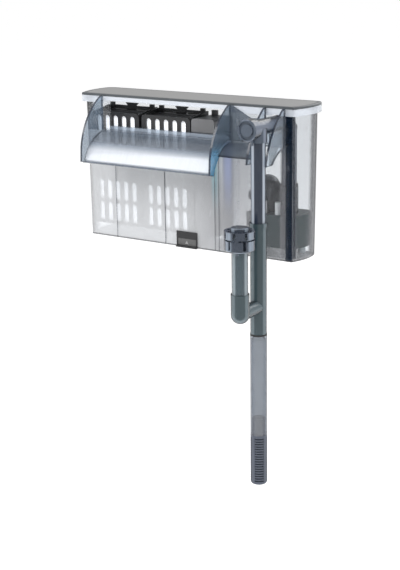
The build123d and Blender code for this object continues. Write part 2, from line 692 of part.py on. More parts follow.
def intake_strainer():
    """Slotted strainer with a closed round foot and a plug-in neck."""
    neck_r = EXT_R - THIN - FIT
    neck_top = EXT_BASE + 17.5
    strainer = post(TUBE_X, TUBE_Y, STRAINER_BASE, EXT_BASE, EXT_R)
    strainer = fillet(strainer.edges().group_by(Axis.Z)[0], 2.6)
    strainer += post(TUBE_X, TUBE_Y, EXT_BASE, neck_top, neck_r)
    strainer -= sleeve(TUBE_X, TUBE_Y, neck_top - 5, neck_top - 3.4, neck_r + 1, neck_r - 0.7)
    strainer -= post(TUBE_X, TUBE_Y, STRAINER_BASE + 2, neck_top + 1, neck_r - 1.2)
    for row in range(STRAINER_ROWS):
        z = STRAINER_BASE + 4.6 + row * STRAINER_PITCH
        for turn in (34, 124):
            strainer -= Pos(TUBE_X, TUBE_Y, z) * Rot(0, 0, turn) * Box(30, 9.5, 1.35)
    return strainer


# ------------------------------------------------------------------- skimmer
def skimmer_riser():
    """Clear riser between the socket and the cup."""
    return sleeve(TUBE_X, RISER_Y, RISER_BASE, RISER_TOP, RISER_R, RISER_R - THIN)


def skimmer_cup():
    """Notched cup whose hub floats on the riser."""
    cup = post(TUBE_X, RISER_Y, CUP_BASE, CUP_RIM, CUP_R)
    cup = chamfer(cup.edges().group_by(Axis.Z)[0], 1.4)
    cup -= sleeve(TUBE_X, RISER_Y, CUP_BASE + 2, CUP_RIM + 1, CUP_R - 1.8, RISER_R + RUN + 1.3)
    for turn in (20, 80, 140, 200, 260, 320):
        cup -= Pos(TUBE_X, RISER_Y, CUP_RIM - 2) * Rot(0, 0, turn) * Pos(CUP_R, 0, 0) * Box(9, 2.6, 13)
    cup += post(TUBE_X, RISER_Y, CUP_BASE, CUP_RIM - 1, RISER_R + RUN + 1.3)
    for turn in (50, 170, 290):
        lug = Pos(TUBE_X, RISER_Y, CUP_BASE - 1.2) * Rot(0, 0, turn) * Pos(12, 0, 0) * Cylinder(1.3, 3)
        cup += lug
    return cup - post(TUBE_X, RISER_Y, CUP_BASE - 1, CUP_RIM + 1, RISER_R + RUN)


def skimmer_grate():
    """Slotted ring that snaps onto the cup, with a raised cap."""
    grate = sleeve(TUBE_X, RISER_Y, GRATE_BASE, GRATE_RIM, CUP_R, CUP_R - 2)
    grate += post(TUBE_X, RISER_Y, GRATE_RIM - 2, GRATE_RIM, CUP_R - 1)
    grate += post(TUBE_X, RISER_Y, GRATE_RIM - 1, GRATE_RIM + 3.2, 9.2)
    grate = fillet(grate.edges().group_by(Axis.Z)[-1], 1.6)
    grate -= post(TUBE_X, RISER_Y, GRATE_RIM - 3, GRATE_RIM + 1.8, 7.8)
    for turn in range(0, 360, 45):
        spot = Pos(TUBE_X, RISER_Y, GRATE_RIM - 1) * Rot(0, 0, turn + 12)
        grate -= spot * Pos(11.3, 0, 0) * Box(2.6, 4.6, 6)
        grate -= spot * Pos(CUP_R, 0, -2.5) * Box(6, 2.4, 6)
    # Three legs join the ring to the cup's rim.
    for turn in (50, 170, 290):
        leg = Pos(TUBE_X, RISER_Y, (CUP_RIM + GRATE_BASE) / 2) * Rot(0, 0, turn) * Pos(CUP_R - 1, 0, 0)
        grate += leg * Box(1.6, 4, GRATE_BASE - CUP_RIM)
    return grate


# ----------------------------------------------------------------- leveller
def leveller_guide():
    """Black frame in the pocket at the foot of the front wall."""
    guide = block(LEVEL_LEFT, LEVEL_RIGHT, -0.9, 0, TUB_BASE, LEVEL_TOP)
    guide += block(LEVEL_LEFT + 1.7, LEVEL_RIGHT - 1.7, -0.5, POCKET_DEPTH - 0.3, TUB_BASE, POCKET_TOP - 0.3)
    guide += block(LEVEL_LEFT, LEVEL_RIGHT, -2.6, -0.5, TUB_BASE, TUB_BASE + 1.9)
    middle = (LEVEL_LEFT + LEVEL_RIGHT) / 2
    return guide - block(middle - 11.7, middle + 11.7, -5, POCKET_DEPTH - 2, -116.0, -108.2)


def leveller_slide():
    """Grey slide that is pushed out against the tank wall."""
    middle = (LEVEL_LEFT + LEVEL_RIGHT) / 2
    slide = block(middle - 11.4, middle + 11.4, -0.6, POCKET_DEPTH - 2.4, -115.8, -108.4)
    slide -= block(middle - 9.4, middle + 9.4, 2.2, POCKET_DEPTH, -114.4, -109.8)
    return slide


# --------------------------------------------------------------------- build
save(body_shell(), "body_shell")
save(spout_hook(), "spout_hook")
save(lid_skirt(), "lid_skirt")
save(lid_frame(), "lid_frame")
save(lid_inlay(), "lid_inlay")
for number, centre in ((1, CART_1_X), (2, CART_2_X)):
    save(cartridge_basket(centre), f"cartridge_{number}_basket")
    save(cartridge_cover(centre), f"cartridge_{number}_cover")
    save(cartridge_floss(centre), f"cartridge_{number}_floss")
    save(cartridge_carbon(centre), f"cartridge_{number}_carbon")
save(media_box(), "media_box")
save(media_cover(), "media_cover")
save(media_rings(), "media_rings")
save(stator_core(), "stator_core")
save(stator_coil(), "stator_coil")
save(motor_housing(), "motor_housing")
save(motor_feet(), "motor_feet")
save(rotor_shaft(), "rotor_shaft")
save(shaft_bushes(), "shaft_bushes")
save(rotor_magnet(), "rotor_magnet")
save(impeller(), "impeller")
save(impeller_cover(), "impeller_cover")
save(cover_seal(), "cover_seal")
save(cover_posts(), "cover_posts")
save(flow_guide(), "flow_guide")
save(cable_gland(), "cable_gland")
save(intake_elbow(), "intake_elbow")
save(elbow_collar(), "elbow_collar")
save(elbow_seal(), "elbow_seal")
save(flow_knob(), "flow_knob")
save(flow_plug(), "flow_plug")
save(upper_tube(), "upper_tube")
save(intake_tee(), "intake_tee")
save(coupling_ring(), "coupling_ring")
save(extension_tube(), "extension_tube")
save(intake_strainer(), "intake_strainer")
save(skimmer_riser(), "skimmer_riser")
save(skimmer_cup(), "skimmer_cup")
save(skimmer_grate(), "skimmer_grate")
save(leveller_guide(), "leveller_guide")
save(leveller_slide(), "leveller_slide")
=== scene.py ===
import math

import bmesh
import bpy
from mathutils import Matrix, Vector, noise


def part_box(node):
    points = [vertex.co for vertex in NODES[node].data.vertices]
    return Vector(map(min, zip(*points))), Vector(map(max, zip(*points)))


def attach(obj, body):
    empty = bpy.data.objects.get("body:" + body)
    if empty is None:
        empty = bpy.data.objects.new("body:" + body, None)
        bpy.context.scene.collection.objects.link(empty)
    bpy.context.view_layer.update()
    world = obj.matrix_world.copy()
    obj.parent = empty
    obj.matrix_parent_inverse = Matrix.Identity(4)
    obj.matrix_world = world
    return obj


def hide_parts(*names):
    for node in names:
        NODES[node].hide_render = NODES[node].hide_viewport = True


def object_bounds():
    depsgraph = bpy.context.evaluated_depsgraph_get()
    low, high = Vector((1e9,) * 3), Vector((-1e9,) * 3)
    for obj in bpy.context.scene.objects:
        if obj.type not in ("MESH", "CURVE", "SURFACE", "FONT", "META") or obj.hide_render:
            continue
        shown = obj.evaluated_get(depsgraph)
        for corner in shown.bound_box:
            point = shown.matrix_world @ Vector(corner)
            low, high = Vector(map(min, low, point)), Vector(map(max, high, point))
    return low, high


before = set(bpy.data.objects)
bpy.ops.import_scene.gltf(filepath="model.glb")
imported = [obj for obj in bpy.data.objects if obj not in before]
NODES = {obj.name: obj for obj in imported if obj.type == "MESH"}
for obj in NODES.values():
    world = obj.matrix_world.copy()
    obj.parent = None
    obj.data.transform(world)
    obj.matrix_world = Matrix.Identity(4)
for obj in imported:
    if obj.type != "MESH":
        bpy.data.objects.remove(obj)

CAD_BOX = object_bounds()
MM = 0.001


def sides(node):
    """The lowest and highest corner of a CAD node, in millimetres."""
    low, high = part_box(node)
    return low / MM, high / MM


def middle_x(node):
    """The x half way across a CAD node, in millimetres."""
    low, high = sides(node)
    return (low.x + high.x) / 2


SHELL_LOW, SHELL_HIGH = sides("body_shell")
HOOK_LOW, HOOK_HIGH = sides("spout_hook")
MEDIA_RIGHT = sides("media_box")[1].x
CART_MID = middle_x("cartridge_1_basket")
CART_2_MID = middle_x("cartridge_2_basket")
FRONT = SHELL_LOW.y         # the tub's front wall
CHEEK_THICK = 2.5
GUARD_WIDTH = 24.4          # over both cheeks of the tube guard
SHELF_WIDTH = 39.2          # the short shelf between the spout and the guard
GUARD_LEFT = HOOK_HIGH.x - GUARD_WIDTH
SPOUT_RIGHT = GUARD_LEFT - SHELF_WIDTH
CHUTE_AXIS_Y = FRONT + 3.3  # the chute's tone turns round this axis
CHUTE_AXIS_Z = -41.6


# ------------------------------------------------------------------- shading
class Shade:
    """A material's node tree, with short calls that add nodes and join them.

    x, y, z and place are the position on the object in millimetres.
    """

    def __init__(self, name):
        self.material = bpy.data.materials.new(name)
        self.material.use_nodes = True
        self.tree = self.material.node_tree
        self.tree.nodes.clear()
        self.out = self.tree.nodes.new("ShaderNodeOutputMaterial")
        self.coords = self.tree.nodes.new("ShaderNodeTexCoord")
        inputs = {0: self.coords.outputs["Object"], "Scale": 1 / MM}
        self.place = self.add("ShaderNodeVectorMath", inputs, operation="SCALE").outputs[0]
        self.x, self.y, self.z = self.add("ShaderNodeSeparateXYZ", {"Vector": self.place}).outputs

    def feed(self, socket, value):
        if isinstance(value, bpy.types.NodeSocket):
            self.tree.links.new(value, socket)
        elif isinstance(value, tuple) and len(value) == 3 and socket.type == "RGBA":
            socket.default_value = (*value, 1)
        else:
            socket.default_value = value

    def add(self, kind, inputs=None, **settings):
        node = self.tree.nodes.new(kind)
        for key, value in settings.items():
            setattr(node, key, value)
        for key, value in (inputs or {}).items():
            self.feed(node.inputs[key], value)
        return node

    def math(self, operation, a, b=0.0, clamp=False):
        inputs = {0: a, 1: b}
        node = self.add("ShaderNodeMath", inputs, operation=operation, use_clamp=clamp)
        return node.outputs[0]

    def times(self, a, b):
        return self.math("MULTIPLY", a, b)

    def most(self, a, b):
        return self.math("MAXIMUM", a, b)

    def step(self, value, low, high):
        """0 below low, 1 above high, smooth between."""
        inputs = {"Value": value, "From Min": low, "From Max": high}
        node = self.add("ShaderNodeMapRange", inputs, interpolation_type="SMOOTHSTEP")
        return node.outputs[0]

    def below(self, value, low, high):
        """1 below low, 0 above high, smooth between."""
        return self.math("SUBTRACT", 1.0, self.step(value, low, high))

    def band(self, value, low, high, soft):
        """1 between low and high, falling to 0 over soft on each side."""
        rise = self.step(value, low - soft, low)
        return self.times(rise, self.below(value, high, high + soft))

    def spread(self, value, low, high):
        """A value from 0 to 1 spread from low to high."""
        inputs = {"Value": value, "To Min": low, "To Max": high}
        return self.add("ShaderNodeMapRange", inputs).outputs[0]

    def facing(self):
        """0 where the surface is seen square on, 1 where it is seen edge on."""
        return self.add("ShaderNodeLayerWeight", {"Blend": 0.5}).outputs["Facing"]

    def square_to(self, axis):
        """1 where the surface faces straight along an axis (0 is x), 0 where it runs along it."""
        normal = self.add("ShaderNodeSeparateXYZ", {"Vector": self.coords.outputs["Normal"]})
        return self.math("ABSOLUTE", normal.outputs[axis])

    def mix(self, share, a, b):
        node = self.add("ShaderNodeMix", data_type="RGBA")
        self.feed(node.inputs["Factor"], share)
        self.feed(node.inputs[6], a)
        self.feed(node.inputs[7], b)
        return node.outputs[2]

    def ramp(self, value, stops):
        """Colour from (place, colour) stops."""
        node = self.add("ShaderNodeValToRGB", {"Fac": value})
        elements = node.color_ramp.elements
        while len(elements) < len(stops):
            elements.new(0.5)
        for element, (at, colour) in zip(elements, stops):
            element.position = at
            element.color = (*colour, 1)
        return node.outputs["Color"]

    def grain(self, scale, detail=3.0, stretch=(1, 1, 1)):
        """Noise from 0 to 1, with scale in features per millimetre."""
        mapping = self.add("ShaderNodeMapping", {"Vector": self.place, "Scale": stretch})
        inputs = {"Vector": mapping.outputs[0], "Scale": scale, "Detail": detail}
        return self.add("ShaderNodeTexNoise", inputs).outputs["Fac"]

    def bump(self, height, strength, distance=0.0002):
        inputs = {"Height": height, "Strength": strength, "Distance": distance}
        return self.add("ShaderNodeBump", inputs).outputs["Normal"]

    def surface(self, inputs):
        """A principled shader. A plain number or colour is set on its own socket."""
        return self.add("ShaderNodeBsdfPrincipled", inputs).outputs[0]

    def blend(self, share, a, b):
        return self.add("ShaderNodeMixShader", {0: share, 1: a, 2: b}).outputs[0]

    def see_through(self, tint, tone, cover, mirror, uneven, polish, normal):
        """Clear plastic: tone covers a share of what shows through it, under a thin mirror."""
        through = self.add("ShaderNodeBsdfTransparent", {"Color": tint}).outputs[0]
        inputs = {"Base Color": tone, "Roughness": uneven, "Normal": normal, "Specular IOR Level": 0.2}
        inside = self.blend(cover, through, self.surface(inputs))
        inputs = {"Roughness": polish, "Normal": normal}
        shine = self.add("ShaderNodeBsdfGlossy", inputs).outputs[0]
        return self.done(self.blend(mirror, inside, shine))

    def done(self, shader):
        self.tree.links.new(shader, self.out.inputs["Surface"])
        return self.material


def solid(name, colour, rough, grain=1.2, bump=0.25, coat=0.0, metallic=0.0):
    """Opaque moulded surface: mottled colour, uneven gloss, faint texture and rubbed patches."""
    contrast = 0.15
    shade = Shade(name)
    fine = shade.grain(grain, 4.0)
    broad = shade.grain(0.05, 2.0)
    rubbed = shade.step(shade.grain(0.16, 6.0), 0.6, 0.72)
    dark = tuple(c * (1 - contrast) for c in colour)
    light = tuple(min(1.0, c * (1 + contrast) + 0.01) for c in colour)
    worn = tuple(min(1.0, c * 1.1 + 0.03) for c in colour)
    tone = shade.mix(broad, dark, light)
    tone = shade.mix(shade.times(rubbed, 0.35), tone, worn)
    gloss = shade.spread(fine, rough - 0.06, rough + 0.06)
    gloss = shade.math("ADD", gloss, shade.times(rubbed, 0.08), clamp=True)
    inputs = {"Base Color": tone, "Roughness": gloss, "Normal": shade.bump(fine, bump)}
    inputs["Metallic"] = metallic
    inputs["Coat Weight"] = coat
    return shade.done(shade.surface(inputs))


def clear(name, tone, haze, tint, rough=0.08, rim=None, rim_share=0.8, gloss=1.0):
    """See-through plastic. tone and haze may be functions of the Shade that give a socket."""
    shade = Shade(name)
    tone = tone(shade) if callable(tone) else tone
    haze = haze(shade) if callable(haze) else haze
    fine = shade.grain(0.5, 4.0)
    scuffs = shade.step(shade.grain(0.12, 8.0, (1, 1, 0.35)), 0.62, 0.75)
    edge = shade.times(shade.step(shade.facing(), 0.55, 0.95), rim_share)
    tone = shade.mix(shade.times(scuffs, 0.12), tone, (0.8, 0.82, 0.84))
    # Painted rim: the rim colour is laid on by viewing angle, painted shade where it is dark and a painted
    # highlight where it is pale.
    if rim:
        tone = shade.mix(edge, tone, rim)
    cover = shade.math("ADD", shade.most(haze, edge), shade.times(scuffs, 0.04), clamp=True)
    grazing = shade.math("POWER", shade.facing(), 5.0)
    mirror = shade.math("ADD", shade.times(grazing, 0.6 * gloss), 0.03 * gloss)
    uneven = shade.spread(fine, rough + 0.12, rough + 0.3)
    polish = shade.spread(fine, rough, rough + 0.05)
    return shade.see_through(tint, tone, cover, mirror, uneven, polish, shade.bump(fine, 0.06))


def tube_glass(name, core, wall, rim, cover):
    """Thick walled clear tube toned by viewing angle: a dark core, a painted band on the wall beside it,
    mostly a highlight, and painted shade at the rim.
    """
    tint = (0.8, 0.84, 0.88)
    rough = 0.07
    shade = Shade(name)
    fine = shade.grain(0.4, 3.0, (1, 1, 0.2))
    facing = shade.facing()
    # Painted highlight and shade by viewing angle: core, then the wall band, then the dark rim.
    tones = [(0.0, core), (0.15, core), (0.26, wall), (0.48, wall), (0.62, rim), (1.0, rim)]
    shares = [(0.0, cover), (0.2, cover), (0.4, cover * 0.75), (0.7, 0.95)]
    tone = shade.mix(shade.times(fine, 0.05), shade.ramp(facing, tones), wall)
    solidity = shade.ramp(facing, [(at, (share,) * 3) for at, share in shares])
    grazing = shade.math("POWER", facing, 4.0)
    mirror = shade.math("ADD", shade.times(grazing, 0.35), 0.02)
    uneven = shade.spread(fine, rough + 0.1, rough + 0.25)
    return shade.see_through(tint, tone, solidity, mirror, uneven, rough, shade.bump(fine, 0.05))


def wear_on(material, *names):
    """Give CAD nodes this material."""
    for name in names:
        mesh = NODES[name].data
        mesh.materials.clear()
        mesh.materials.append(material)


# ----------------------------------------------------------------- materials
def shell_front(shade):
    """1 on the tub's front wall."""
    inner = FRONT + 2.4
    return shade.below(shade.y, inner, inner + 0.6)


def shell_lines(shade):
    """Where painted shade goes: 1 where an upright wall of the tub is seen edge on, and nearly 1 along its
    foot.
    """
    foot_top = SHELL_LOW.z + 1.5
    upright = shade.below(shade.square_to(2), 0.3, 0.6)
    outline = shade.times(shade.step(shade.facing(), 0.45, 0.7), upright)
    foot = shade.below(shade.z, foot_top, foot_top + 0.9)
    return shade.most(outline, shade.times(foot, 0.8))


def shell_corner_shade(shade):
    """1 on a dark upright band of painted shade at the front right corner, less on a slate band of painted
    shade beside it.
    """
    width = 7.0
    dark_left = SHELL_HIGH.x - 14.5
    slate_left = SHELL_HIGH.x - 21.0
    dark = shade.band(shade.x, dark_left, dark_left + width, 1.0)
    slate = shade.band(shade.x, slate_left, slate_left + width, 1.0)
    near = shade.below(shade.y, FRONT + 7.0, FRONT + 9.0)
    return shade.times(shade.most(dark, shade.times(slate, 0.4)), near)


def shell_tone(shade):
    """Frosted grey, darker to the right, with three painted reflections and four painted dark rib lines.
    """
    along = shade.step(shade.x, CART_2_MID + 10, SPOUT_RIGHT + 25)
    tone = shade.mix(along, (0.88, 0.89, 0.91), (0.38, 0.38, 0.40))
    # Painted reflections: three coloured bands beside the right cheek, fading out towards the bottom.
    reflection_fade = shade.step(shade.z, SHELL_LOW.z + 35, -20)
    reflection_half, line_half = 1.5, 0.4
    painted_reflections = (
        (MEDIA_RIGHT + 3, 4, (0.50, 0.84, 0.92)),
        (MEDIA_RIGHT + 10, 4, (0.90, 0.93, 0.98)),
        (MEDIA_RIGHT + 19, 6, (0.60, 0.66, 0.93)),
    )
    for x, soft, colour in painted_reflections:
        reflection = shade.band(shade.x, x - reflection_half, x + reflection_half, soft)
        tone = shade.mix(shade.times(reflection, reflection_fade), tone, colour)
    # Painted shade: dark upright lines over the ribs and baffles that stand behind the front wall.
    for x in (CART_MID + 2, CART_2_MID + 0.5, MEDIA_RIGHT + 3, MEDIA_RIGHT + 8):
        line = shade.band(shade.x, x - line_half, x + line_half, line_half)
        tone = shade.mix(line, tone, (0.16, 0.17, 0.19))
    # Painted shade: dark bands at the front right corner.
    tone = shade.mix(shell_corner_shade(shade), tone, (0.006, 0.013, 0.026))
    # Painted shade: dark outlines where upright walls are seen edge on, and a dark line along the foot.
    return shade.mix(shell_lines(shade), tone, (0.008, 0.011, 0.018))


def shell_haze(shade):
    """Frost on the front wall below the rim, clearing to the right. The painted shade at the corner and on
    the lines is solid.
    """
    left = shade.below(shade.x, MEDIA_RIGHT + 38, MEDIA_RIGHT + 64)
    low = shade.below(shade.z, -1, 1)
    frost = shade.times(shade.times(shell_front(shade), left), low)
    base = shade.math("ADD", shade.times(frost, 0.36), 0.06)
    base = shade.most(base, shade.times(shell_corner_shade(shade), 0.93))
    return shade.most(base, shade.times(shell_lines(shade), 0.95))


def plate_edges(shade):
    """1 on the thin edges of the hook's upright cheeks, where painted shade goes."""
    spare = 0.05
    plates = 0.0
    for left in (HOOK_LOW.x, SPOUT_RIGHT - CHEEK_THICK, GUARD_LEFT, HOOK_HIGH.x - CHEEK_THICK):
        plate = shade.band(shade.x, left - spare, left + CHEEK_THICK + spare, 0.1)
        plates = shade.most(plates, plate)
    return shade.times(plates, shade.below(shade.square_to(0), 0.4, 0.7))


def chute_turn(shade):
    """How far round the chute a point lies, from 0 straight out to 1 on the shelf."""
    rise = shade.math("SUBTRACT", shade.z, CHUTE_AXIS_Z)
    reach = shade.math("SUBTRACT", CHUTE_AXIS_Y, shade.y)
    return shade.times(shade.math("ARCTAN2", rise, reach), 2 / math.pi)


def hook_zones(shade):
    """Masks for the chute between the cheeks, the right cheek, the short shelf and the guard."""
    soft = 0.2
    inner = CHEEK_THICK + 0.1
    chute = shade.band(shade.x, HOOK_LOW.x + inner, SPOUT_RIGHT - inner, soft)
    cheek = shade.band(shade.x, SPOUT_RIGHT - CHEEK_THICK, SPOUT_RIGHT + soft, soft)
    shelf = shade.band(shade.x, SPOUT_RIGHT + 0.3, GUARD_LEFT - soft, soft)
    guard = shade.step(shade.x, GUARD_LEFT - soft, GUARD_LEFT)
    return chute, cheek, shelf, guard


def hook_tone(shade):
    """Painted reflections on the chute, pale low down and dark higher up, with streaks; smoke cheeks with
    painted blue light low down.
    """
    chute, cheek, shelf, guard = hook_zones(shade)
    # Painted reflection: pale and dark bands round the chute, by how far round it a point lies.
    reflecting_chute = shade.ramp(
        chute_turn(shade),
        [
            (0.0, (0.08, 0.10, 0.13)),
            (0.205, (0.08, 0.10, 0.13)),
            (0.235, (0.72, 0.75, 0.80)),
            (0.40, (0.70, 0.73, 0.78)),
            (0.50, (0.30, 0.34, 0.40)),
            (0.58, (0.05, 0.06, 0.08)),
            (0.80, (0.07, 0.085, 0.11)),
            (0.86, (0.50, 0.56, 0.64)),
        ],
    )
    streaks = shade.grain(0.35, 2.0, (1.0, 0.05, 0.05))
    reflecting_chute = shade.mix(shade.times(streaks, 0.3), reflecting_chute, (0.42, 0.46, 0.53))
    smoke = shade.mix(shade.step(shade.z, -26, 34), (0.15, 0.19, 0.25), (0.25, 0.32, 0.40))
    # Painted light: a blue patch low on the right cheek.
    painted_blue_light = shade.times(cheek, shade.below(shade.z, -12, 4))
    smoke = shade.mix(shade.times(cheek, 0.8), smoke, (0.15, 0.20, 0.26))
    smoke = shade.mix(shade.times(painted_blue_light, 0.8), smoke, (0.10, 0.42, 0.70))
    smoke = shade.mix(shelf, smoke, (0.085, 0.105, 0.135))
    smoke = shade.mix(guard, smoke, (0.50, 0.54, 0.58))
    # Painted shade: dark along the short shelf's lower edge.
    lip_shade_line = shade.times(shelf, shade.below(shade.z, -9.5, -8.0))
    tone = shade.mix(chute, smoke, reflecting_chute)
    tone = shade.mix(lip_shade_line, tone, (0.01, 0.012, 0.02))
    # Painted shade: dark lines on the cheeks' thin edges.
    return shade.mix(plate_edges(shade), tone, (0.02, 0.027, 0.045))


def hook_haze(shade):
    """How solid each part of the hook looks: least at the guard, most at the plate edges, so their painted
    shade shows.
    """
    chute, cheek, shelf, guard = hook_zones(shade)
    # More solid low on the chute, where its painted reflection is pale.
    white = shade.below(chute_turn(shade), 0.38, 0.6)
    reflecting_chute = shade.math("ADD", shade.times(white, 0.38), 0.42)
    base = shade.mix(chute, (0.36,) * 3, reflecting_chute)
    base = shade.mix(cheek, base, (0.5,) * 3)
    base = shade.mix(shelf, base, (0.62,) * 3)
    base = shade.mix(guard, base, (0.10,) * 3)
    return shade.mix(plate_edges(shade), base, (0.9,) * 3)


def lid_plate():
    """Satin brushed plate: long fine streaks over a broad mottle."""
    shade = Shade("lid_brushed")
    streaks = shade.grain(2.2, 5.0, (0.02, 1.0, 1.0))
    broad = shade.grain(0.02, 2.0)
    tone = shade.mix(streaks, (0.20, 0.20, 0.20), (0.34, 0.34, 0.335))
    tone = shade.mix(shade.times(broad, 0.3), tone, (0.33, 0.33, 0.34))
    inputs = {"Base Color": tone, "Roughness": shade.spread(streaks, 0.32, 0.5)}
    inputs["Normal"] = shade.bump(streaks, 0.12)
    inputs["Metallic"] = 0.35
    return shade.done(shade.surface(inputs))


def floss_fibre():
    """White fibre mat: soft scattered light, crossed strands and loose tufts."""
    shade = Shade("floss_white")
    strands = shade.grain(1.4, 6.0, (1.0, 1.0, 0.25))
    cross = shade.grain(1.1, 6.0, (0.3, 1.0, 1.0))
    tufts = shade.grain(0.18, 3.0)
    weave = shade.times(shade.math("ADD", strands, cross), 0.5)
    tone = shade.mix(weave, (0.80, 0.82, 0.85), (0.96, 0.97, 0.98))
    tone = shade.mix(shade.times(tufts, 0.12), tone, (0.74, 0.77, 0.80))
    height = shade.math("ADD", weave, shade.times(tufts, 0.8))
    inputs = {"Base Color": tone, "Roughness": shade.spread(weave, 0.75, 0.95)}
    inputs["Normal"] = shade.bump(height, 0.8, 0.0006)
    inputs["Sheen Weight"] = 0.4
    # Stands for light scattered inside the loose fibre.
    inputs["Emission Color"] = (0.94, 0.96, 1.0)
    inputs["Emission Strength"] = 0.7
    return shade.done(shade.surface(inputs))


def granules(name, colour, size):
    """Bonded granules, lighter at each granule's middle and darker towards the gaps: painted shade in the
    gaps.
    """
    shade = Shade(name)
    cells = shade.add("ShaderNodeTexVoronoi", {"Vector": shade.place, "Scale": size})
    depth = cells.outputs["Distance"]
    # Painted shade: darker away from each granule's middle.
    tone = shade.mix(depth, tuple(c * 1.6 for c in colour), tuple(c * 0.5 for c in colour))
    inputs = {"Base Color": tone, "Roughness": shade.spread(depth, 0.5, 0.8)}
    inputs["Normal"] = shade.bump(depth, 0.7, 0.0006)
    return shade.done(shade.surface(inputs))


def wound_wire():
    """Enamelled wire in even turns, lighter along each turn's crest and darker in the grooves: painted
    highlight and shade.
    """
    shade = Shade("copper_coil")
    inputs = {"Vector": shade.place, "Scale": 0.5, "Distortion": 0.4}
    turns = shade.add("ShaderNodeTexWave", inputs, bands_direction="Z").outputs["Fac"]
    # Painted highlight on the crests and painted shade in the grooves between turns.
    tone = shade.mix(turns, (0.20, 0.07, 0.02), (0.62, 0.28, 0.10))
    inputs = {"Base Color": tone, "Roughness": shade.spread(turns, 0.4, 0.25)}
    inputs["Normal"] = shade.bump(turns, 0.6, 0.0004)
    inputs["Metallic"] = 0.8
    return shade.done(shade.surface(inputs))


def laminations():
    """Stacked steel sheets."""
    shade = Shade("steel_laminate")
    inputs = {"Vector": shade.place, "Scale": 0.6}
    lines = shade.add("ShaderNodeTexWave", inputs, bands_direction="Z").outputs["Fac"]
    tone = shade.mix(lines, (0.10, 0.10, 0.11), (0.36, 0.37, 0.39))
    inputs = {"Base Color": tone, "Roughness": shade.spread(shade.grain(0.8), 0.3, 0.5)}
    inputs["Normal"] = shade.bump(lines, 0.4, 0.0002)
    inputs["Metallic"] = 0.9
    return shade.done(shade.surface(inputs))


def dress_casing():
    """The tub, the hook, the lid and the leveller."""
    shell = clear("clear_shell", shell_tone, shell_haze, (0.93, 0.94, 0.95), 0.05, gloss=0.35)
    wear_on(shell, "body_shell")
    # Its dark rim is painted shade.
    skirt = clear(
        "skirt_clear", (0.80, 0.84, 0.90), 0.45, (0.96, 0.97, 0.99), rim=(0.2, 0.25, 0.3), rim_share=0.7
    )
    wear_on(skirt, "lid_skirt")
    # Its dark rim is painted shade.
    hook = clear("smoke_blue", hook_tone, hook_haze, (0.86, 0.90, 0.94), 0.05, (0.05, 0.065, 0.09))
    wear_on(hook, "spout_hook")
    wear_on(solid("lid_grey", (0.06, 0.068, 0.076), 0.3), "lid_frame")
    wear_on(lid_plate(), "lid_inlay")
    wear_on(solid("leveller_grey", (0.09, 0.09, 0.09), 0.4, grain=2.0), "leveller_slide")


def dress_media():
    """The cartridges and the media box, but not the floss, which soft pads replace."""
    black = solid("cartridge_black", (0.018, 0.018, 0.02), 0.38, grain=1.6)
    carbon = granules("carbon_black", (0.02, 0.02, 0.02), 0.6)
    for number in (1, 2):
        wear_on(black, f"cartridge_{number}_basket", f"cartridge_{number}_cover")
        wear_on(carbon, f"cartridge_{number}_carbon")
    wear_on(clear("media_clear", (0.30, 0.31, 0.32), 0.5, (0.9, 0.9, 0.9), 0.15), "media_box")
    wear_on(solid("media_grey", (0.16, 0.16, 0.165), 0.35), "media_cover")
    wear_on(granules("ceramic_media", (0.55, 0.52, 0.47), 1.2), "media_rings")


def dress_pump():
    """The motor, the rotor, what covers them and the seals."""
    wear_on(solid("motor_teal", (0.010, 0.030, 0.034), 0.35), "motor_housing")
    wear_on(laminations(), "stator_core")
    wear_on(wound_wire(), "stator_coil")
    rubber = solid("rubber_black", (0.012, 0.012, 0.013), 0.6, grain=2.0, bump=0.4)
    wear_on(rubber, "shaft_bushes", "cover_seal", "cable_gland")
    wear_on(rubber, "elbow_seal", "coupling_ring", "leveller_guide")
    wear_on(solid("rubber_pale", (0.5, 0.54, 0.56), 0.5), "motor_feet")
    wear_on(solid("ceramic_shaft", (0.75, 0.75, 0.72), 0.12, coat=0.5), "rotor_shaft")
    wear_on(solid("magnet_dark", (0.03, 0.03, 0.032), 0.3, metallic=0.3), "rotor_magnet")
    wear_on(solid("white_plastic", (0.80, 0.81, 0.82), 0.25), "impeller", "cover_posts")
    # Its dark rim is painted shade.
    dome = clear("dark_smoke", (0.05, 0.055, 0.06), 0.62, (0.6, 0.62, 0.64), 0.12, (0.02, 0.02, 0.03))
    wear_on(dome, "impeller_cover")
    # Its pale rim is a painted highlight.
    guide = clear("guide_silver", (0.62, 0.66, 0.68), 0.55, (0.9, 0.92, 0.93), 0.1, (0.85, 0.9, 0.92))
    wear_on(guide, "flow_guide")


